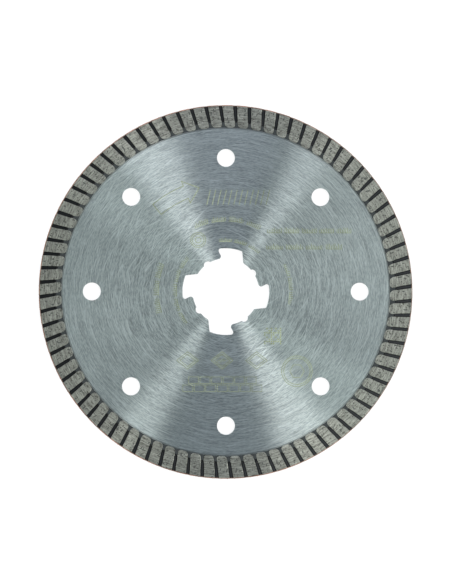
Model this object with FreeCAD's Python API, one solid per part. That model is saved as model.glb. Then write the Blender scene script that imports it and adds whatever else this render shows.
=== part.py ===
"""Diamond cutting blade, 125 mm, with a slotted continuous rim and a four-lobed quick-change arbor hole.

Frame: the blade lies flat. The origin is the middle of the arbor hole at mid thickness, +Z is the arbor
axis out of the front (marked) face, and +X and +Y each pass through the middle of a vent hole.

Pieces
  steel_core          ground steel disc with its arbor hole and vent holes. Its edge is thinned to a tongue
                      with half-round key notches, which the rim is pressed and sintered around.
  diamond_rim         sintered metal ring that grips the tongue. Slots on both faces, half a pitch apart,
                      leave raised lands with rounded inner ends and a continuous web between them.
  diamond_grit_front  crystals ground flush with the front lands, each in its own pocket in the rim
  diamond_grit_rear   the same on the rear lands
  diamond_grit_edge   crystals that stand a little proud of the cutting edge
"""

import FreeCAD, Part
import math
import os
import random

from FreeCAD import Rotation, Vector

# Blade, in millimetres and degrees
blade_radius = 62.5
rim_thickness = 1.4
core_thickness = 1.1

# Rim against core
rim_inner_radius = 54.85
tongue_radius = 57.0
tongue_thickness = 0.7
key_count = 40
key_radius = 0.8

# Rim slots
slot_count = 80
slot_slant = 8.0
slot_phase = 1.25
slot_reference_radius = 58.5
slot_width = 1.12
slot_floor_width = 0.86
slot_depth = 0.55
slot_start_radius = 57.15
relief_depth = 0.2
relief_width = 0.98
land_corner_radius = 1.2
land_corner_sweep = 74.0

# Arbor hole
bore_radius = 22.23 / 2
lobe_radius = 29.0 / 2
lobe_count = 4
lobe_wall_angles = (58.2, 67.9)
lobe_hook_angles = (96.1, 101.5)
lobe_corner_radius = 0.5
hook_pocket_radius = 0.8
hook_nose_radius = 0.95
notch_angle = 124.5
notch_radius = 1.35
notch_centre_radius = 10.6
edge_break = 0.08

# Vent holes
vent_count = 8
vent_radius = 3.0
vent_circle_radius = 44.75

# Diamond grit
grit_radius = (0.22, 0.3)
grit_tilt = (15.0, 75.0)
grit_seed = 7
land_grit_count = 3
land_grit_spacing = 0.95
land_grit_margin = 0.42
land_grit_depth = 0.3
edge_grit_per_pitch = 2
edge_grit_stand_out = (0.03, 0.05)
edge_grit_shift = 0.25
edge_grit_height = 0.35

# How far a cutting shape runs past the surfaces it cuts, and how close two points count as one
overrun = 0.5
same_place = 0.01

half_rim = rim_thickness / 2
half_core = core_thickness / 2
half_tongue = tongue_thickness / 2
matrix_radius = blade_radius - edge_grit_stand_out[1]
pitch = 360.0 / slot_count
lean = math.tan(math.radians(slot_slant))
up = Vector(0, 0, 1)
origin = Vector(0, 0, 0)


def polar(radius, degrees, z=0.0):
    """The point at a radius and an angle from +X."""
    angle = math.radians(degrees)
    return Vector(radius * math.cos(angle), radius * math.sin(angle), z)


def disc(radius, half_thickness):
    """A round plate centred on the mid plane."""
    return Part.makeCylinder(radius, 2 * half_thickness, Vector(0, 0, -half_thickness))


def turned(shape, degrees):
    """A copy of a shape, turned about the arbor axis."""
    copy = shape.copy()
    copy.rotate(origin, up, degrees)
    return copy


def other_face(shape):
    """A copy of a front-face shape, mirrored to the rear face and turned by half a pitch."""
    return turned(shape.mirror(origin, up), pitch / 2)


def upright_edges(shape, radius, degrees):
    """The edges parallel to the arbor axis that stand at a radius and angle, in every lobe."""
    found = []
    for lobe in range(lobe_count):
        place = polar(radius, degrees + 360.0 / lobe_count * lobe)
        for edge in shape.Edges:
            ends = [v.Point for v in edge.Vertexes]
            if all(math.hypot(p.x - place.x, p.y - place.y) < same_place for p in ends):
                found.append(edge)
    return found


def arbor_lobe(reach):
    """One lobe of the arbor hole: a straight wall on one side, a slanted hook wall on the other."""
    wall_root = polar(bore_radius, lobe_wall_angles[0], -reach)
    wall_end = polar(lobe_radius, lobe_wall_angles[1], -reach)
    top = polar(lobe_radius, sum(lobe_wall_angles + lobe_hook_angles) / 4, -reach)
    hook_end = polar(lobe_radius, lobe_hook_angles[1], -reach)
    hook_root = polar(bore_radius, lobe_hook_angles[0], -reach)
    centre = Vector(0, 0, -reach)
    outline = Part.Wire([
        Part.makeLine(centre, wall_root),
        Part.makeLine(wall_root, wall_end),
        Part.Arc(wall_end, top, hook_end).toShape(),
        Part.makeLine(hook_end, hook_root),
        Part.makeLine(hook_root, centre),
    ])
    return Part.Face(outline).extrude(Vector(0, 0, 2 * reach))


def arbor_plug():
    """The space of the arbor hole: the round bore, the lobes and the small relief notches."""
    reach = core_thickness
    lobe = arbor_lobe(reach)
    notch = Part.makeCylinder(notch_radius, 2 * reach, polar(notch_centre_radius, notch_angle, -reach))
    steps = [360.0 / lobe_count * i for i in range(lobe_count)]
    plug = disc(bore_radius, reach)
    plug = plug.fuse([turned(s, a) for s in (lobe, notch) for a in steps]).removeSplitter()
    roundings = [
        (bore_radius, lobe_wall_angles[0], lobe_corner_radius),
        (lobe_radius, lobe_wall_angles[1], lobe_corner_radius),
        (lobe_radius, lobe_hook_angles[1], hook_pocket_radius),
        (bore_radius, lobe_hook_angles[0], hook_nose_radius),
    ]
    for radius, degrees, rounding in roundings:
        plug = plug.makeFillet(rounding, upright_edges(plug, radius, degrees))
    return plug.Solids[0]


def vent_hole():
    """The space of the vent hole on the +X axis, with a broken edge at each face."""
    at = Vector(vent_circle_radius, 0, 0)
    hole = Part.makeCylinder(vent_radius, 2 * core_thickness, at - up * core_thickness)
    flare_start = at + up * (half_core - edge_break)
    flare = Part.makeCone(vent_radius, vent_radius + 2 * edge_break, 2 * edge_break, flare_start)
    return hole.fuse([flare, flare.mirror(origin, up)])


def tongue():
    """The thinned edge of the core, notched all round so that the rim can't turn on it."""
    ring = disc(tongue_radius, half_tongue)
    key = Part.makeCylinder(key_radius, 2 * rim_thickness, Vector(tongue_radius, 0, -rim_thickness))
    return ring.cut([turned(key, 360.0 / key_count * i) for i in range(key_count)])


def steel_core(plug):
    """The ground disc, its tongue, arbor hole and vent holes."""
    body = disc(rim_inner_radius, half_core).fuse(tongue())
    body = body.cut([turned(vent_hole(), 360.0 / vent_count * i) for i in range(vent_count)])
    body = body.cut(plug).removeSplitter().Solids[0]
    mouth = [
        e for e in body.Edges
        if abs(abs(e.CenterOfMass.z) - half_core) < same_place
        and max(math.hypot(v.X, v.Y) for v in e.Vertexes) < lobe_radius + overrun
    ]
    return body.makeChamfer(edge_break, mouth).Solids[0]


def deep_slot():
    """The space of one front slot from the core's edge outwards, with drafted walls, at angle 0."""
    inner_x, outer_x = slot_start_radius, blade_radius + overrun
    middle = (inner_x - slot_reference_radius) * lean
    top_z, floor_z = half_rim + overrun, half_rim - slot_depth
    draft = (slot_width - slot_floor_width) / 2 / slot_depth
    half_top = slot_width / 2 + draft * (top_z - half_rim)
    half_floor = slot_floor_width / 2
    section = Part.makePolygon([
        Vector(inner_x, middle - half_top, top_z),
        Vector(inner_x, middle - half_floor, floor_z),
        Vector(inner_x, middle + half_floor, floor_z),
        Vector(inner_x, middle + half_top, top_z),
        Vector(inner_x, middle - half_top, top_z),
    ])
    run = outer_x - inner_x
    return Part.Face(section).extrude(Vector(run, run * lean, 0))


def relief_side(side):
    """One side of the shallow relief: the wall, the land's rounded corner and a run past the rim's edge."""
    corner = land_corner_radius
    corner_x = rim_inner_radius + corner

    def wall(x):
        return (x - slot_reference_radius) * lean + side * relief_width / 2

    def on_corner(degrees):
        angle = math.radians(degrees)
        return Vector(
            corner_x - corner * math.sin(angle),
            wall(corner_x) + side * corner * (1 - math.cos(angle)),
            0,
        )

    sweep = math.radians(land_corner_sweep)
    wall_end = Vector(slot_start_radius + overrun, wall(slot_start_radius + overrun), 0)
    tail = on_corner(land_corner_sweep) + Vector(-math.cos(sweep), side * math.sin(sweep), 0) * overrun
    return [
        Part.makeLine(wall_end, on_corner(0)),
        Part.Arc(on_corner(0), on_corner(land_corner_sweep / 2), on_corner(land_corner_sweep)).toShape(),
        Part.makeLine(on_corner(land_corner_sweep), tail),
    ]


def slot_relief():
    """The space of the shallow, flared inner end of one front slot, over the core's tongue, at angle 0."""
    left, right = relief_side(-1), relief_side(1)
    wall_ends = [side[0].Vertexes[0].Point for side in (left, right)]
    tails = [side[-1].Vertexes[-1].Point for side in (left, right)]
    edges = left + right + [Part.makeLine(*wall_ends), Part.makeLine(*tails)]
    face = Part.Face(Part.Wire(Part.sortEdges(edges)[0]))
    face.translate(up * (half_rim - relief_depth))
    return face.extrude(up * (relief_depth + overrun))


def diamond_rim():
    """The sintered ring before its crystal pockets are cut."""
    ring = disc(matrix_radius, half_rim).cut(disc(rim_inner_radius, rim_thickness))
    ring = ring.cut(tongue())
    slot_shapes = (deep_slot(), slot_relief())
    spaces = []
    for i in range(slot_count):
        for shape in slot_shapes:
            front = turned(shape, slot_phase + pitch * i)
            spaces += [front, other_face(front)]
    return ring.cut(spaces).Solids[0]


def crystal_at_origin(radius, dice):
    """One diamond crystal, an octahedron about the origin, turned at random."""
    tips = [Vector(*p) * radius for p in ((1, 0, 0), (0, 1, 0), (-1, 0, 0), (0, -1, 0))]
    poles = [Vector(0, 0, radius), Vector(0, 0, -radius)]
    faces = [
        Part.Face(Part.makePolygon([tips[i], tips[(i + 1) % 4], pole, tips[i]]))
        for i in range(4)
        for pole in poles
    ]
    crystal = Part.Solid(Part.Shell(faces))
    if crystal.Volume < 0:
        crystal.reverse()
    turn = Rotation(dice.uniform(0, 360), dice.uniform(*grit_tilt), dice.uniform(*grit_tilt))
    crystal.Placement = FreeCAD.Placement(origin, turn)
    return crystal


def land_places(dice):
    """Spots for crystals on one front land, at angle 0, as (along the slant, across it), spread apart."""
    half_run = (matrix_radius - rim_inner_radius) / 2 - 2 * land_grit_margin
    half_width = (math.radians(pitch) * rim_inner_radius - slot_width) / 2 - land_grit_margin
    places = []
    while len(places) < land_grit_count:
        place = (dice.uniform(-half_run, half_run), dice.uniform(-half_width, half_width))
        if all(math.dist(place, other) > land_grit_spacing for other in places):
            places.append(place)
    return places


def land_grit(dice):
    """Crystals in the front lands, cut off flush with the lands' faces."""
    corner = Vector(-blade_radius, -blade_radius, -half_rim)
    below_face = Part.makeBox(2 * blade_radius, 2 * blade_radius, rim_thickness, corner)
    middle_radius = (matrix_radius + rim_inner_radius) / 2
    crystals = []
    for i in range(slot_count):
        land_angle = slot_phase + pitch * (i + 0.5)
        for along, across in land_places(dice):
            radius = dice.uniform(*grit_radius)
            crystal = crystal_at_origin(radius, dice)
            x = middle_radius + along
            y = across + (x - slot_reference_radius) * lean
            crystal.translate(Vector(x, y, half_rim - land_grit_depth * radius))
            crystals.append(turned(crystal.common(below_face).Solids[0], land_angle))
    return crystals


def edge_grit(dice):
    """Crystals round the cutting edge, each between a front slot and the next rear one."""
    slot_drift = math.degrees((matrix_radius - slot_reference_radius) * lean / matrix_radius)
    step = pitch / edge_grit_per_pitch
    crystals = []
    for i in range(slot_count * edge_grit_per_pitch):
        crystal = crystal_at_origin(dice.uniform(*grit_radius), dice)
        x = matrix_radius + dice.uniform(*edge_grit_stand_out) - crystal.BoundBox.XMax
        y = dice.uniform(-edge_grit_shift, edge_grit_shift)
        z = dice.uniform(-edge_grit_height, edge_grit_height)
        crystal.translate(Vector(x, y, z))
        crystals.append(turned(crystal, slot_phase + slot_drift + pitch / 4 + step * i))
    return crystals


def save(name, shape):
    """Writes one node's STEP file and prints what it holds."""
    shape.exportStep(os.path.join("parts", name + ".step"))
    box = shape.BoundBox
    print(
        f"{name}: {len(shape.Solids)} solids, {shape.Volume:.2f} mm3, valid {shape.isValid()}, "
        f"size {box.XLength:.3f} x {box.YLength:.3f} x {box.ZLength:.3f}"
    )


def main():
    os.makedirs("parts", exist_ok=True)
    dice = random.Random(grit_seed)
    plug = arbor_plug()
    front_grit = land_grit(dice)
    rear_grit = [other_face(crystal) for crystal in land_grit(dice)]
    cutting_grit = edge_grit(dice)
    rim = diamond_rim().cut(front_grit + rear_grit + cutting_grit).Solids[0]
    save("steel_core", steel_core(plug))
    save("diamond_rim", rim)
    save("diamond_grit_front", Part.makeCompound(front_grit))
    save("diamond_grit_rear", Part.makeCompound(rear_grit))
    save("diamond_grit_edge", Part.makeCompound(cutting_grit))


main()
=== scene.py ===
"""Looks of a diamond cutting blade: brushed steel core, ground diamond rim, crystals and plain laser marks.

Everything is in the CAD part's frame, in metres: the blade lies flat round the origin, with +Z out of its
marked front face. Shape values below are in millimetres, as in the part's source, and are scaled when used.
"""

import math

import bpy
import numpy as np
from mathutils import Matrix, Vector


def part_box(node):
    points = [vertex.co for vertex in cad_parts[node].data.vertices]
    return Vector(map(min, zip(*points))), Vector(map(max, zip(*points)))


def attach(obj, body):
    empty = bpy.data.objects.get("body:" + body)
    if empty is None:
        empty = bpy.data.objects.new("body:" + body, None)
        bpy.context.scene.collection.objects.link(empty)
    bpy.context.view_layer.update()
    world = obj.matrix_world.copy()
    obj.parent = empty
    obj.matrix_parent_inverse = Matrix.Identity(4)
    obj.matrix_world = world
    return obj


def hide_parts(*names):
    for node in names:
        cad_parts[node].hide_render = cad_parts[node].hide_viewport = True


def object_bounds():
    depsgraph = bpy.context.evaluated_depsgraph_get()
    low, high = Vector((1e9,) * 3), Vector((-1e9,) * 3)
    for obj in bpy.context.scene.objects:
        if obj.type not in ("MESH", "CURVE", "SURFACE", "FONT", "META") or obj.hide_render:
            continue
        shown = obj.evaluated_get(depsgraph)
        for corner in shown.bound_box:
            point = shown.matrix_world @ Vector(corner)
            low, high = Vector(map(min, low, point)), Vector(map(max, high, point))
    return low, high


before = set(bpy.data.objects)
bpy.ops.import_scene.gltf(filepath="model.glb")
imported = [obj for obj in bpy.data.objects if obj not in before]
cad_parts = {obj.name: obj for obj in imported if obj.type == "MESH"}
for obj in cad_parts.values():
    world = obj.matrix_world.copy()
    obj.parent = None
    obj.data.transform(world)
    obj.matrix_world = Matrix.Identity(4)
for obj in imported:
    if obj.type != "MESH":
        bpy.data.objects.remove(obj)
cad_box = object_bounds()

MM = 0.001

# Blade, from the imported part
core_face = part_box("steel_core")[1].z / MM
rim_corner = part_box("diamond_rim")[1]
rim_face = rim_corner.z / MM
rim_radius = rim_corner.x / MM

# Rim slots, as in the part
slot_count = 80
slot_lean = math.tan(math.radians(8.0))
slot_phase = math.radians(1.25)
slot_reference_radius = 58.5
slot_floor_depth = 0.55
slot_start_radius = 57.15
relief_depth = 0.2
relief_half_width = 0.49
land_corner_radius = 1.2
land_corner_sweep = math.radians(74.0)
rim_inner_radius = 54.85
tongue_radius = 57.0
tongue_half = 0.35

# Slot and land edges: slots widen slightly outwards, walls are drafted, land edges are worn round
slot_half_width = 0.56
slot_widening = 0.018
wall_draft = 0.08
relief_draft = 0.04
crystal_proud = 0.012
edge_profile = ((0.0, 0.042), (0.03, 0.004), (0.07, 0.0))
edge_wear = 0.05
edge_flat_half = 0.12
floor_crown = 0.05
crown_share = 0.45
hollow_share = 0.75
corner_drop_share = 0.93

# Rows of the rim's mesh: radius, and how far the row is lowered where the rim's own edges are worn
inner_rows = ((rim_inner_radius, 0.032), (54.91, 0.01), (55.0, 0.0), (55.12, 0.0), (55.32, 0.0), (55.6, 0.0),
              (56.0, 0.0), (56.6, 0.0), (57.08, 0.0), (57.2, 0.0))
middle_row_step = 0.72
middle_row_count = 6
outer_rows = ((61.95, 0.0), (62.16, 0.004), (62.28, 0.014), (62.36, 0.035), (rim_radius - edge_wear, 0.075))

# Unevenness of the rim
land_columns = 8
edge_wander = 0.022
wander_smoothing = 1.8
face_wander = 0.004
pit_share = 0.055
pit_depth = (0.03, 0.075)
pit_free_rows = 2
front_seed, rear_seed = 12, 10

pitch = 2 * math.pi / slot_count
rim_smooth_angle = 38.0


# ---------------------------------------------------------------- meshes

def mesh_object(name, points, faces, smooth_angle=None):
    """A new object from points in millimetres."""
    mesh = bpy.data.meshes.new(name)
    mesh.from_pydata([tuple(p) for p in np.asarray(points) * MM], [], faces)
    mesh.validate()
    if smooth_angle is not None:
        mesh.polygons.foreach_set("use_smooth", [True] * len(mesh.polygons))
        mesh.set_sharp_from_angle(angle=math.radians(smooth_angle))
    made = bpy.data.objects.new(name, mesh)
    bpy.context.scene.collection.objects.link(made)
    return made


def corner_inset(radius):
    """How far a land's rounded inner corner stands back from the slot wall at a radius."""
    centre = rim_inner_radius + land_corner_radius
    depth = centre - radius
    if depth <= 0:
        return 0.0
    deepest = land_corner_radius * math.sin(land_corner_sweep)
    if depth <= deepest:
        return land_corner_radius - math.sqrt(land_corner_radius ** 2 - depth ** 2)
    flat = land_corner_radius * (1 - math.cos(land_corner_sweep))
    return flat + (depth - deepest) * math.tan(land_corner_sweep)


def slot_side(radius):
    """Offsets from the slot's centre line and depths below the ground face, from the floor up to the land."""
    if radius < slot_start_radius:
        top = relief_half_width + corner_inset(radius)
        bottom = top - relief_draft
        depth = relief_depth
    else:
        top = slot_half_width + (radius - slot_start_radius) * slot_widening
        bottom = top - wall_draft
        depth = slot_floor_depth
    crown = depth - floor_crown
    floor = [(0.0, crown), (bottom * crown_share, crown), (bottom * hollow_share, depth)]
    wall = [(bottom, depth * corner_drop_share)] + [(top + out, drop) for out, drop in edge_profile]
    return floor + wall


def rim_rows():
    """Radii of the rim's rows and how far each is lowered, close together where the outline bends."""
    last = inner_rows[-1][0]
    middle_rows = [(last + middle_row_step * i, 0.0) for i in range(1, middle_row_count + 1)]
    return list(inner_rows) + middle_rows + list(outer_rows)


def rim_face_grid(seed):
    """Angles, radii and heights of one face: a band of columns for each pitch, a row for each radius."""
    dice = np.random.default_rng(seed)
    rows = rim_rows()
    shares = np.arange(1, land_columns + 1) / (land_columns + 1)
    angles, heights = [], []
    for radius, lowered in rows:
        line = (radius - slot_reference_radius) * slot_lean
        side = slot_side(radius)
        after = [math.asin((line + offset) / radius) for offset, _ in side]
        before = [math.asin((line - offset) / radius) + pitch for offset, _ in side]
        land = [after[-1] + (before[-1] - after[-1]) * share for share in shares]
        drops = [drop for _, drop in side]
        drops += [0.0] * land_columns + drops[:0:-1]
        angles.append(after + land + before[:0:-1])
        heights.append([rim_face - crystal_proud - max(drop, lowered) for drop in drops])
    angles, heights = np.array(angles), np.array(heights)
    columns, side_count = angles.shape[1], len(side)
    turn = slot_phase + pitch * np.arange(slot_count)
    angles = angles[None] + turn[:, None, None]
    heights = np.repeat(heights[None], slot_count, axis=0)
    shape = angles.shape
    radii = np.broadcast_to(np.array([r for r, _ in rows])[None, :, None], shape).copy()

    wander = dice.normal(0, 1, shape)
    wander[:, 1:-1] = (wander[:, :-2] + wander[:, 1:-1] + wander[:, 2:]) / wander_smoothing
    wall_end = side_count - 1
    wall_start = wall_end - len(edge_profile)
    walls = np.zeros(columns)
    walls[wall_start:wall_end] = 1
    walls[columns - wall_end + 1:columns - wall_start + 1] = 1
    angles += wander * walls * edge_wander / radii
    heights += dice.normal(0, face_wander, shape)
    pitted = dice.random(shape) < pit_share
    pitted[:, :, :side_count] = False
    pitted[:, :, side_count + land_columns:] = False
    pitted[:, :pit_free_rows] = False
    pitted[:, -pit_free_rows:] = False
    heights -= pitted * dice.uniform(*pit_depth, shape)
    return angles, radii, heights


def whole_rings(grid):
    """Joins the columns of every pitch: shape (pitches, rows, columns) to (rows, all columns)."""
    return grid.transpose(1, 0, 2).reshape(grid.shape[1], -1)


def quads_between(lower, upper, flip):
    """Quads joining two closed rings of the same count."""
    pairs = zip(lower, np.roll(lower, -1), np.roll(upper, -1), upper)
    return [q[::-1] if flip else q for q in pairs]


def zip_rings(first, first_angles, second, second_angles, flip):
    """Triangles joining two closed rings whose points stand at different angles."""
    full = 2 * math.pi
    start = int(np.argmin(np.abs((second_angles - first_angles[0] + math.pi) % full - math.pi)))
    second = np.roll(second, -start)
    second_angles = np.unwrap(np.roll(second_angles, -start))
    second_angles = second_angles + full * round((first_angles[0] - second_angles[0]) / full)
    first_angles = np.append(first_angles, first_angles[0] + full)
    second_angles = np.append(second_angles, second_angles[0] + full)
    first, second = np.append(first, first[0]), np.append(second, second[0])
    i = j = 0
    faces = []
    while i < len(first) - 1 or j < len(second) - 1:
        forward = j == len(second) - 1 or (i < len(first) - 1 and first_angles[i + 1] <= second_angles[j + 1])
        if forward:
            face = (first[i], first[i + 1], second[j])
            i += 1
        else:
            face = (first[i], second[j + 1], second[j])
            j += 1
        faces.append(face[::-1] if flip else face)
    return faces


def build_rim():
    """The whole rim as one closed mesh: both slotted faces, the cutting edge and the tongue's groove."""
    points, faces, outer_rings, groove_rings = [], [], [], []
    count = 0
    for side in (1, -1):
        angles, radii, heights = rim_face_grid(front_seed if side > 0 else rear_seed)
        if side < 0:
            angles = angles + pitch / 2
        angles, radii, heights = (whole_rings(g) for g in (angles, radii, heights))
        outer, level = heights[-1], np.ones_like(heights[0])
        extra = [
            (angles[-1], radii[-1], (outer + edge_flat_half) * 0.5),
            (angles[-1], radii[-1], level * edge_flat_half),
            (angles[0], radii[0], level * tongue_half),
            (angles[0], level * tongue_radius, level * tongue_half),
        ]
        a = np.vstack([angles] + [e[0][None] for e in extra])
        r = np.vstack([radii] + [e[1][None] for e in extra])
        z = np.vstack([heights] + [e[2][None] for e in extra]) * side
        points.append(np.stack([r * np.cos(a), r * np.sin(a), z], -1).reshape(-1, 3))
        ids = np.arange(a.size).reshape(a.shape) + count
        count += a.size
        flip = side < 0
        *rows, cutting_edge, groove_mouth, groove_floor = ids
        rows.append(cutting_edge)
        for lower, upper in zip(rows[1:], rows):
            faces += quads_between(lower, upper, flip)
        faces += quads_between(rows[0], groove_mouth, flip)
        faces += quads_between(groove_mouth, groove_floor, flip)
        outer_rings += [cutting_edge, angles[-1]]
        groove_rings += [groove_floor, angles[0]]
    faces += zip_rings(*outer_rings, flip=True)
    faces += zip_rings(*groove_rings, flip=False)
    faces = [tuple(int(v) for v in face) for face in faces]
    return mesh_object("rim_matrix", np.vstack(points), faces, rim_smooth_angle)


# ---------------------------------------------------------------- laser marks

mark_height = 0.006
mark_sink = 0.004
line_width = 0.2
thin_line = 0.16
bold_line = 0.22
arrow_line = 0.24
least_corner = 0.35
arc_tick_step, arc_tick_fill = 0.62, 0.82
row_tick_step, row_tick_fill = 0.58, 0.8


class Marks:
    """Collects flat strokes on the front face and makes one mesh of them."""

    def __init__(self):
        self.points = []
        self.faces = []

    def stroke(self, path, width=line_width, closed=False):
        """A line of constant width along a path of (x, y) points."""
        path = np.array(path, float)
        ahead = np.roll(path, -1, axis=0) - path
        behind = path - np.roll(path, 1, axis=0)
        if not closed:
            ahead[-1] = behind[-1]
            behind[0] = ahead[0]
        ahead /= np.linalg.norm(ahead, axis=1)[:, None]
        behind /= np.linalg.norm(behind, axis=1)[:, None]
        normal = np.stack([-(ahead + behind)[:, 1], (ahead + behind)[:, 0]], 1)
        normal /= np.linalg.norm(normal, axis=1)[:, None]
        across = np.stack([-ahead[:, 1], ahead[:, 0]], 1)
        reach = width / 2 / np.maximum((normal * across).sum(1), least_corner)
        left, right = path + normal * reach[:, None], path - normal * reach[:, None]
        n, base = len(path), len(self.points)
        for z in (core_face + mark_height, core_face - mark_sink):
            for side in (left, right):
                self.points += [(x, y, z) for x, y in side]
        top_left, top_right, low_left, low_right = (base + n * k for k in range(4))
        for i in range(n if closed else n - 1):
            j = (i + 1) % n
            self.faces += [
                (top_right + i, top_right + j, top_left + j, top_left + i),
                (low_left + i, low_left + j, low_right + j, low_right + i),
                (top_left + i, top_left + j, low_left + j, low_left + i),
                (low_right + i, low_right + j, top_right + j, top_right + i),
            ]
        if not closed:
            last = n - 1
            self.faces += [
                (top_left, low_left, low_right, top_right),
                (top_right + last, low_right + last, low_left + last, top_left + last),
            ]

    def arc(self, centre, radius, start, end, width=line_width):
        """Part of a ring, angles in degrees."""
        steps = max(3, int(abs(end - start) / 4))
        turn = np.radians(np.linspace(start, end, steps + 1))
        closed = abs(end - start) >= 360
        path = [(centre[0] + radius * math.cos(t), centre[1] + radius * math.sin(t)) for t in turn]
        self.stroke(path[:-1] if closed else path, width, closed)

    def polygon(self, centre, radii, sides):
        """A regular outline, stretched to two radii."""
        around = [math.radians(360 / sides * k) for k in range(sides)]
        path = [(centre[0] + radii[0] * math.cos(t), centre[1] + radii[1] * math.sin(t)) for t in around]
        self.stroke(path, closed=True)

    def ticks_on_arc(self, radius, start, end, height, groups, dice):
        """Groups of short radial ticks along an arc round the arbor, with a gap between groups."""
        span = (end - start) / groups
        step = math.degrees(arc_tick_step / radius)
        for g in range(groups):
            first, last = start + span * g, start + span * (g + arc_tick_fill)
            angle = first
            while angle < last:
                t = math.radians(angle)
                low, high = radius, radius + height * dice.uniform(0.55, 1.0)
                self.stroke([(r * math.cos(t), r * math.sin(t)) for r in (low, high)])
                angle += step
            self.arc((0, 0), radius - 0.05, first, last, thin_line)

    def tick_row(self, start, end, height, groups, dice):
        """The same groups of ticks along a straight row."""
        span = (end[0] - start[0]) / groups
        for g in range(groups):
            first, last = start[0] + span * g, start[0] + span * (g + row_tick_fill)
            x = first
            while x < last:
                top = start[1] + height * dice.uniform(0.5, 1.0)
                self.stroke([(x, start[1]), (x, top)])
                x += row_tick_step
            self.stroke([(first, start[1]), (last, start[1])], thin_line)

    def build(self):
        return mesh_object("laser_marks", self.points, self.faces)


def turn_arrow(marks):
    """The outline of a bent arrow that shows the direction of rotation."""
    inner, outer, head_inner, head_outer = 33.6, 38.0, 31.9, 39.7
    tail, neck, tip = 130.0, 112.0, 104.5

    def at(radius, degrees):
        return (radius * math.cos(math.radians(degrees)), radius * math.sin(math.radians(degrees)))

    path = [at(outer, a) for a in np.linspace(tail, neck, 10)]
    path += [at(head_outer, neck), at((inner + outer) / 2, tip), at(head_inner, neck)]
    path += [at(inner, a) for a in np.linspace(neck, tail, 10)]
    marks.stroke(path, arrow_line, closed=True)


def hatching(marks):
    """A band of slanted strokes."""
    left, low, high, step, lean = -6.4, 29.0, 34.0, 1.8, 1.2
    for k in range(12):
        x = left + step * k
        marks.stroke([(x, low), (x + lean, high)], bold_line)


def tick_groups(marks, dice):
    """Groups of short ticks along arcs and rows."""
    for radius, start, end, height, groups in (
            (23.6, 62, 119, 1.7, 4), (16.8, 50, 101, 1.2, 3), (22.6, 157, 201, 1.9, 3),
            (16.6, 139, 222, 1.3, 5), (21.3, -11, 27, 1.3, 3)):
        marks.ticks_on_arc(radius, start, end, height, groups, dice)
    for start, end, groups in (((13.9, 19.6), (43.0, 19.6), 5), ((13.6, 14.2), (40.2, 14.2), 4)):
        marks.tick_row(start, end, 1.9, groups, dice)


def ringed_hexagons(marks):
    """Double rings round a plain hexagon."""
    for centre, radii in (((-9.3, 17.2), (2.5, 1.9)), ((23.7, -26.6), (5.1, 4.4))):
        for radius in radii:
            marks.arc(centre, radius, 0, 360)
        marks.polygon(centre, (radii[1] * 0.55,) * 2, 6)


def rhombi(marks):
    """Three double rhombi, the middle one hatched."""
    y, reach = -23.0, 0.7
    for x, hatched in ((-12.8, False), (-1.3, True), (10.2, False)):
        marks.polygon((x, y), (3.6, 2.9), 4)
        marks.polygon((x, y), (2.6, 2.05), 4)
        for k in (-1, 0, 1) if hatched else ():
            rise = reach - abs(k) * 0.4
            marks.stroke([(x + k - reach, y - rise), (x + k + reach, y + rise)])


def bricks(marks):
    """Two courses of plain bricks."""
    width, height, step, course_height = 3.3, 2.2, 3.85, 2.7
    left, low = -14.4, -33.4
    for course in range(2):
        for k in range(7 - course):
            x, y = left + step * (k + 0.5 * course), low + course_height * course
            right, top = x + width, y + height
            marks.stroke([(x, y), (right, y), (right, top), (x, top)], thin_line, closed=True)


def block_grid(marks):
    """A small square grid with some of its blocks filled, by a plain rule of row and column."""
    left, low, block = 12.7, -17.4, 0.5
    for i in range(8):
        for j in range(8):
            if (i * 3 + j * 5 + i * j) % 4 < 2:
                x, y = left + 0.75 * i, low + 0.72 * j
                marks.stroke([(x, y), (x + block, y)], block)


def build_marks():
    """Plain generic marks about where such a blade has its laser marks. None of them is lettering."""
    dice = np.random.default_rng(5)
    marks = Marks()
    turn_arrow(marks)
    hatching(marks)
    tick_groups(marks, dice)
    ringed_hexagons(marks)
    rhombi(marks)
    bricks(marks)
    block_grid(marks)
    return marks.build()


# ---------------------------------------------------------------- materials

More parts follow.
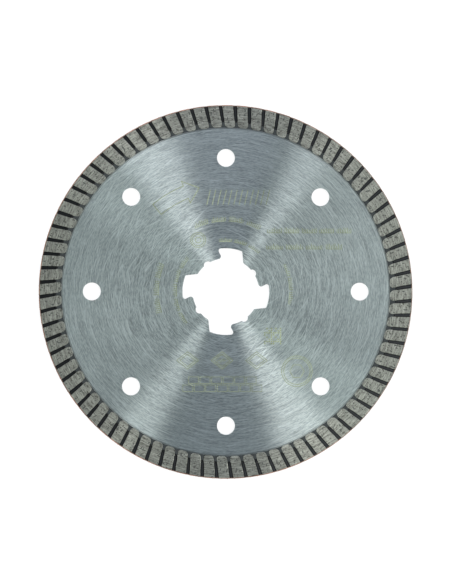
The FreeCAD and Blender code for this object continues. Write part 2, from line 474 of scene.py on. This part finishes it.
class Graph:
    """A material and short calls for adding nodes to it."""

    def __init__(self, name):
        self.material = bpy.data.materials.new(name)
        self.material.use_nodes = True
        self.tree = self.material.node_tree
        self.shader = self.tree.nodes["Principled BSDF"]

    def node(self, kind, inputs=None, **settings):
        made = self.tree.nodes.new("ShaderNode" + kind)
        for key, value in settings.items():
            setattr(made, key, value)
        for key, value in (inputs or {}).items():
            self.feed(made.inputs[key], value)
        return made

    def feed(self, socket, value):
        if isinstance(value, bpy.types.NodeSocket):
            self.tree.links.new(value, socket)
        else:
            socket.default_value = value

    def math(self, operation, *values):
        made = self.node("Math", operation=operation)
        for socket, value in zip(made.inputs, values):
            self.feed(socket, value)
        return made.outputs[0]

    def spread(self, value, low, high, to_low=0.0, to_high=1.0, kind="SMOOTHSTEP"):
        """Maps a range of a value onto another, clamped."""
        inputs = {"Value": value, "From Min": low, "From Max": high, "To Min": to_low, "To Max": to_high}
        return self.node("MapRange", inputs, interpolation_type=kind).outputs["Result"]

    def blend(self, factor, a, b, kind="MIX"):
        """Mixes two colours. Sockets 0, 6 and 7 of a Mix node are its factor and its two colours."""
        made = self.node("Mix", data_type="RGBA", blend_type=kind)
        for socket, value in zip((made.inputs[0], made.inputs[6], made.inputs[7]), (factor, a, b)):
            self.feed(socket, value)
        return made.outputs[2]

    def place(self):
        """x, y and z in millimetres in the blade's frame."""
        coordinates = self.node("TexCoord").outputs["Object"]
        scaled = self.node("VectorMath", {0: coordinates, "Scale": 1 / MM}, operation="SCALE").outputs[0]
        return scaled, self.node("SeparateXYZ", {0: scaled}).outputs

    def radius(self, place, centre=(0.0, 0.0)):
        """x, y and distance from an axis along z."""
        x = self.math("SUBTRACT", place[0], centre[0])
        y = self.math("SUBTRACT", place[1], centre[1])
        length = self.math("SQRT", self.math("ADD", self.math("MULTIPLY", x, x), self.math("MULTIPLY", y, y)))
        return x, y, length

    def noise(self, point, scale, detail, roughness):
        inputs = {"Vector": point, "Scale": scale, "Detail": detail, "Roughness": roughness}
        return self.node("TexNoise", inputs).outputs["Fac"]

    def streaks(self, place, around, across, centre=(0.0, 0.0), detail=0.0, offset=0.0):
        """Noise drawn out along circles: around and across are its cells for each millimetre."""
        x, y, length = self.radius(place, centre)
        spot = self.node("CombineXYZ", {
            0: self.math("MULTIPLY", x, around),
            1: self.math("MULTIPLY", y, around),
            2: self.math("MULTIPLY_ADD", length, across, offset),
        }).outputs[0]
        return self.noise(spot, 1.0, detail, 0.6)

    def bump(self, height, strength, distance):
        inputs = {"Height": height, "Strength": strength, "Distance": distance * MM}
        self.feed(self.shader.inputs["Normal"], self.node("Bump", inputs).outputs["Normal"])

    def turned_metal(self, anisotropy):
        """Stretches highlights as grinding marks round the arbor do."""
        tangent = self.node("Tangent", direction_type="RADIAL", axis="Z").outputs["Tangent"]
        self.feed(self.shader.inputs["Tangent"], tangent)
        self.shader.inputs["Anisotropic"].default_value = anisotropy
        self.shader.inputs["Anisotropic Rotation"].default_value = 0.25


def ring_value(g, place):
    """Fine concentric grinding rings, as a height."""
    long = g.streaks(place, 0.12, 5.0)
    short = g.streaks(place, 0.9, 5.0, offset=40.0)
    return g.math("MULTIPLY_ADD", long, 0.5, g.math("MULTIPLY", short, 0.5))


def brushed_value(g, point, place, rings):
    """Light and dark of the ground steel: fine rings, and strokes that cross them."""
    speckle = g.noise(point, 4.6, 1.0, 0.7)
    layers = [
        (rings, 0.52),
        (g.streaks(place, 0.3, 5.0, centre=(4.6, -2.0), offset=9.0), 0.15),
        (g.streaks(place, 0.3, 5.0, centre=(-3.0, 4.4), offset=23.0), 0.15),
        (speckle, 0.18),
    ]
    total = 0.0
    for layer, share in layers:
        total = g.math("MULTIPLY_ADD", layer, share, total)
    return total


def scratch_value(g, place):
    """Sparse single scratches, one where a line runs and nought elsewhere."""
    first = g.spread(g.streaks(place, 0.10, 2.6, centre=(8.0, 9.0), offset=61.0), 0.68, 0.80)
    second = g.spread(g.streaks(place, 0.10, 2.6, centre=(-9.0, -6.0), offset=97.0), 0.68, 0.80)
    return g.math("MAXIMUM", first, second)


def steel_material():
    """Ground steel: grinding marks, fainter towards the rim, single scratches and the joint's dark line."""
    dark, light, bright = (0.226, 0.263, 0.267, 1), (0.454, 0.522, 0.527, 1), (0.62, 0.70, 0.70, 1)
    joint_dark = (0.06, 0.063, 0.06, 1)
    middle = 0.5
    scratch_strength = 0.45
    g = Graph("ground_steel")
    point, place = g.place()
    rings = ring_value(g, place)
    grain = brushed_value(g, point, place, rings)
    length = g.radius(place)[2]
    contrast = g.spread(length, 24.0, 44.0, 1.12, 0.72, kind="LINEAR")
    tone = g.math("MULTIPLY_ADD", g.math("SUBTRACT", grain, middle), contrast, middle)
    colour = g.blend(g.spread(tone, 0.40, 0.60, kind="LINEAR"), dark, light)
    scratches = g.math("MULTIPLY", scratch_value(g, place), contrast)
    colour = g.blend(g.math("MULTIPLY", scratches, scratch_strength), colour, bright)
    joint = g.spread(length, rim_inner_radius - 0.5, rim_inner_radius - 0.3)
    joint_fade = g.spread(length, rim_inner_radius - 0.2, rim_inner_radius, 0.55, 0.2)
    colour = g.blend(g.math("MULTIPLY", joint, joint_fade), colour, joint_dark)
    g.feed(g.shader.inputs["Base Color"], colour)
    g.feed(g.shader.inputs["Roughness"], g.spread(grain, 0.4, 0.6, 0.275, 0.295, kind="LINEAR"))
    g.shader.inputs["Metallic"].default_value = 1.0
    g.turned_metal(1.0)
    g.bump(rings, 1.0, 0.0012)
    return g.material


def oxide_material():
    """The greenish oxide that a marking laser leaves, with the steel's grain showing through."""
    dark, light = (0.188, 0.218, 0.138, 1), (0.352, 0.408, 0.258, 1)
    g = Graph("laser_oxide")
    point, place = g.place()
    grain = brushed_value(g, point, place, ring_value(g, place))
    tone = g.spread(grain, 0.30, 0.70, kind="LINEAR")
    g.feed(g.shader.inputs["Base Color"], g.blend(tone, dark, light))
    g.feed(g.shader.inputs["Roughness"], g.spread(grain, 0.3, 0.7, 0.6, 0.48, kind="LINEAR"))
    g.shader.inputs["Metallic"].default_value = 0.8
    g.turned_metal(0.8)
    return g.material


def slot_colour(g, grain, side, height, length):
    """Soot in the slots and flares with painted light and shade: the slot floors darker on one side of the
    blade and lighter on the other, and painted shade in black in the hollows at the foot of the slot walls
    and up the walls; and the bare metal of torn pits.
    """
    # Painted shade for the slots' corners and walls.
    slot_shade_black = (0.006, 0.007, 0.008, 1)
    # Painted light and shade: the slot floors are darkest where side is 0 and lightest where side is 1.
    soot_in_painted_shade = g.blend(grain, (0.003, 0.004, 0.005, 1), (0.012, 0.015, 0.017, 1))
    soot_in_painted_light = g.blend(grain, (0.017, 0.019, 0.021, 1), (0.052, 0.058, 0.062, 1))
    slot_floor = rim_face - crystal_proud - slot_floor_depth
    relief_floor = rim_face - relief_depth
    colour = g.blend(side, soot_in_painted_shade, soot_in_painted_light)
    # Painted shade: the hollows at the foot of the slot walls are black, while the crowned middle of the
    # floor keeps the soot's colour.
    colour = g.blend(g.spread(height, slot_floor, slot_floor + floor_crown), slot_shade_black, colour)
    # Painted shade: from just above the floor up, the slot walls are black.
    colour = g.blend(g.spread(height, slot_floor + 0.07, slot_floor + 0.12), colour, slot_shade_black)
    shallow = g.spread(height, relief_floor - 0.12, relief_floor - 0.03)
    inside = g.spread(length, slot_start_radius - 0.7, slot_start_radius - 0.2, 1.0, 0.0)
    colour = g.blend(g.math("MULTIPLY", shallow, inside), colour, (0.044, 0.051, 0.053, 1))
    pit = g.spread(height, relief_floor + 0.04, relief_floor + 0.09)
    return g.blend(pit, colour, (0.092, 0.100, 0.094, 1))


def land_colour(g, place, tone, side):
    """Ground faces of the lands: brushed metal with torn specks, with painted light that makes them lighter
    on one side of the blade.
    """
    speck_strength = 0.75
    colour = g.blend(tone, (0.105, 0.110, 0.098, 1), (0.355, 0.374, 0.335, 1))
    # Painted light: the lands are darker where side is 0 and lighter where side is 1.
    painted_light_factor = g.spread(side, 0.0, 1.0, 0.81, 0.96, kind="LINEAR")
    colour = g.blend(1.0, colour, painted_light_factor, kind="MULTIPLY")
    torn = g.spread(g.streaks(place, 0.9, 2.2, offset=31.0), 0.66, 0.76)
    return g.blend(g.math("MULTIPLY", torn, speck_strength), colour, (0.05, 0.05, 0.04, 1))


def cutting_edge_colour(g, place, tone, height):
    """Copper shining through at the rim's corner, and bronze down its outer wall."""
    bright = g.blend(tone, (0.15, 0.058, 0.028, 1), (0.40, 0.165, 0.090, 1))
    dull = g.blend(tone, (0.12, 0.088, 0.070, 1), (0.33, 0.25, 0.21, 1))
    bronze = g.blend(tone, (0.125, 0.074, 0.050, 1), (0.33, 0.195, 0.135, 1))
    dulled = g.spread(place[0], 0.1 * rim_radius, 0.9 * rim_radius)
    copper = g.blend(dulled, bright, dull)
    return g.blend(g.spread(height, rim_face - 0.2, rim_face - 0.1), bronze, copper)


def matrix_material():
    """Sintered metal: ground lands, sooty slots and a copper cutting edge, with painted light and shade on
    the slots and lands.
    """
    g = Graph("sintered_matrix")
    point, place = g.place()
    length = g.radius(place)[2]
    height = g.math("ABSOLUTE", place[2])
    grain = g.noise(point, 2.4, 2.0, 0.7)
    lines = g.streaks(place, 0.3, 2.8, detail=1.0)
    mixed = g.math("ADD", g.math("MULTIPLY", grain, 0.4), g.math("MULTIPLY", lines, 0.6))
    tone = g.spread(mixed, 0.34, 0.66, kind="LINEAR")
    # side runs from 0 at the blade's left (-X, a little towards +Y) to 1 at its right; it carries painted
    # light and shade on the slot floors and lands, lighter towards the right.
    side = g.math("MULTIPLY_ADD", place[1], -0.3, place[0])
    side = g.spread(side, -rim_radius, rim_radius, kind="LINEAR")
    land = rim_face - crystal_proud
    top = g.spread(height, land - 0.034, land - 0.016)
    edge = g.spread(length, rim_radius - 0.42, rim_radius - 0.12)
    colour = g.blend(top, slot_colour(g, grain, side, height, length), land_colour(g, place, tone, side))
    colour = g.blend(edge, colour, cutting_edge_colour(g, place, tone, height))
    g.feed(g.shader.inputs["Base Color"], colour)
    g.feed(g.shader.inputs["Roughness"], g.blend(top, (0.8, 0.8, 0.8, 1), (0.36, 0.36, 0.36, 1)))
    g.shader.inputs["Metallic"].default_value = 0.75
    g.turned_metal(0.9)
    g.bump(mixed, 0.5, 0.03)
    return g.material


def diamond_material():
    """Cloudy dark crystals."""
    g = Graph("diamond")
    point, _ = g.place()
    cloud = g.noise(point, 1.7, 2.0, 0.5)
    g.feed(g.shader.inputs["Base Color"], g.blend(cloud, (0.012, 0.012, 0.010, 1), (0.09, 0.085, 0.06, 1)))
    g.feed(g.shader.inputs["Roughness"], g.spread(cloud, 0.3, 0.7, 0.12, 0.35, kind="LINEAR"))
    g.shader.inputs["IOR"].default_value = 2.1
    return g.material


def floor_material():
    """An evenly lit white table."""
    g = Graph("light_table")
    g.shader.inputs["Base Color"].default_value = (0.12, 0.12, 0.12, 1)
    g.shader.inputs["Roughness"].default_value = 0.9
    g.shader.inputs["Emission Color"].default_value = (1, 1, 1, 1)
    g.shader.inputs["Emission Strength"].default_value = 0.86
    return g.material


def paint(target, material):
    target.data.materials.clear()
    target.data.materials.append(material)


# ---------------------------------------------------------------- pieces

rim = build_rim()
paint(rim, matrix_material())
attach(rim, "root")
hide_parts("diamond_rim")

marks = build_marks()
paint(marks, oxide_material())
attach(marks, "root")

paint(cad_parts["steel_core"], steel_material())
diamond = diamond_material()
for name in ("diamond_grit_front", "diamond_grit_rear", "diamond_grit_edge"):
    paint(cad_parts[name], diamond)

# ---------------------------------------------------------------- stage, light and camera

# Stage sizes are in metres, angles in degrees
light_distance = 0.7
light_elevation = 38.0
picture_width = 151.04 * MM
camera_distance = 0.8
camera_azimuth = 234.0
camera_elevation = 87.8
sensor_width = 36.0

floor_half = 2.5
floor_gap = 0.1 * MM
floor_mesh = bpy.data.meshes.new("floor")
floor_z = cad_box[0][2] - floor_gap
corners = [(-floor_half, -floor_half, floor_z), (floor_half, -floor_half, floor_z),
           (floor_half, floor_half, floor_z), (-floor_half, floor_half, floor_z)]
floor_mesh.from_pydata(corners, [], [(0, 1, 2, 3)])
floor = bpy.data.objects.new("floor", floor_mesh)
bpy.context.scene.collection.objects.link(floor)
paint(floor, floor_material())


def direction(azimuth, elevation):
    """A unit vector, azimuth from +X towards +Y, in degrees."""
    a, e = math.radians(azimuth), math.radians(elevation)
    return Vector((math.cos(e) * math.cos(a), math.cos(e) * math.sin(a), math.sin(e)))


def softbox(name, azimuth, width, radiance, length=0.36, tint=(1.0, 1.0, 1.0)):
    """A flat light facing the blade, its length pointing up and over the blade."""
    data = bpy.data.lights.new(name, "AREA")
    data.shape = "RECTANGLE"
    data.size, data.size_y = width, length
    data.energy = radiance * math.pi * width * length
    data.color = tint
    away = direction(azimuth, light_elevation)
    side = direction(azimuth + 90.0, 0.0)
    axes = Matrix((side, away.cross(side), away)).transposed().to_4x4()
    light = bpy.data.objects.new(name, data)
    light.matrix_world = Matrix.Translation(away * light_distance) @ axes
    bpy.context.scene.collection.objects.link(light)


softbox("panel_right", 15, 1.0, 3.5, length=0.5, tint=(1.0, 0.985, 0.965))
softbox("panel_left", 180, 1.0, 1.3, length=0.5, tint=(0.975, 1.0, 0.95))
softbox("panel_top", 88, 0.36, 2.4, length=0.5, tint=(0.91, 0.88, 1.0))
softbox("strip_upper_right", 58, 0.1, 3.6, tint=(0.975, 0.93, 1.0))
softbox("strip_upper_left", 116, 0.16, 6.7, tint=(0.99, 0.96, 1.0))
softbox("strip_wide_left", 135, 0.25, 2.3)
softbox("strip_lower_left", 237.5, 0.13, 8.2, tint=(1.0, 0.99, 0.93))
softbox("strip_lower_right", 300, 0.16, 9.6, tint=(1.0, 0.96, 0.90))
softbox("strip_wide_right", 318, 0.28, 4.6, tint=(0.975, 1.0, 0.94))

world = bpy.data.worlds.new("studio")
world.use_nodes = True
world.node_tree.nodes["Background"].inputs["Color"].default_value = (0.87, 0.965, 1.0, 1)
world.node_tree.nodes["Background"].inputs["Strength"].default_value = 0.33
bpy.context.scene.world = world

camera_away = direction(camera_azimuth, camera_elevation)
target = Vector((0.03 * MM, -0.15 * MM, 0))
camera_data = bpy.data.cameras.new("camera")
camera_data.sensor_fit = "HORIZONTAL"
camera_data.sensor_width = sensor_width
camera_data.lens = sensor_width * camera_distance / picture_width
camera = bpy.data.objects.new("camera", camera_data)
upright = (Vector((0, 1, 0)) - camera_away * camera_away.y).normalized()
axes = Matrix((upright.cross(camera_away), upright, camera_away)).transposed().to_4x4()
camera.matrix_world = Matrix.Translation(target + camera_away * camera_distance) @ axes
bpy.context.scene.collection.objects.link(camera)
bpy.context.scene.camera = camera
bpy.context.scene.view_settings.view_transform = "Standard"
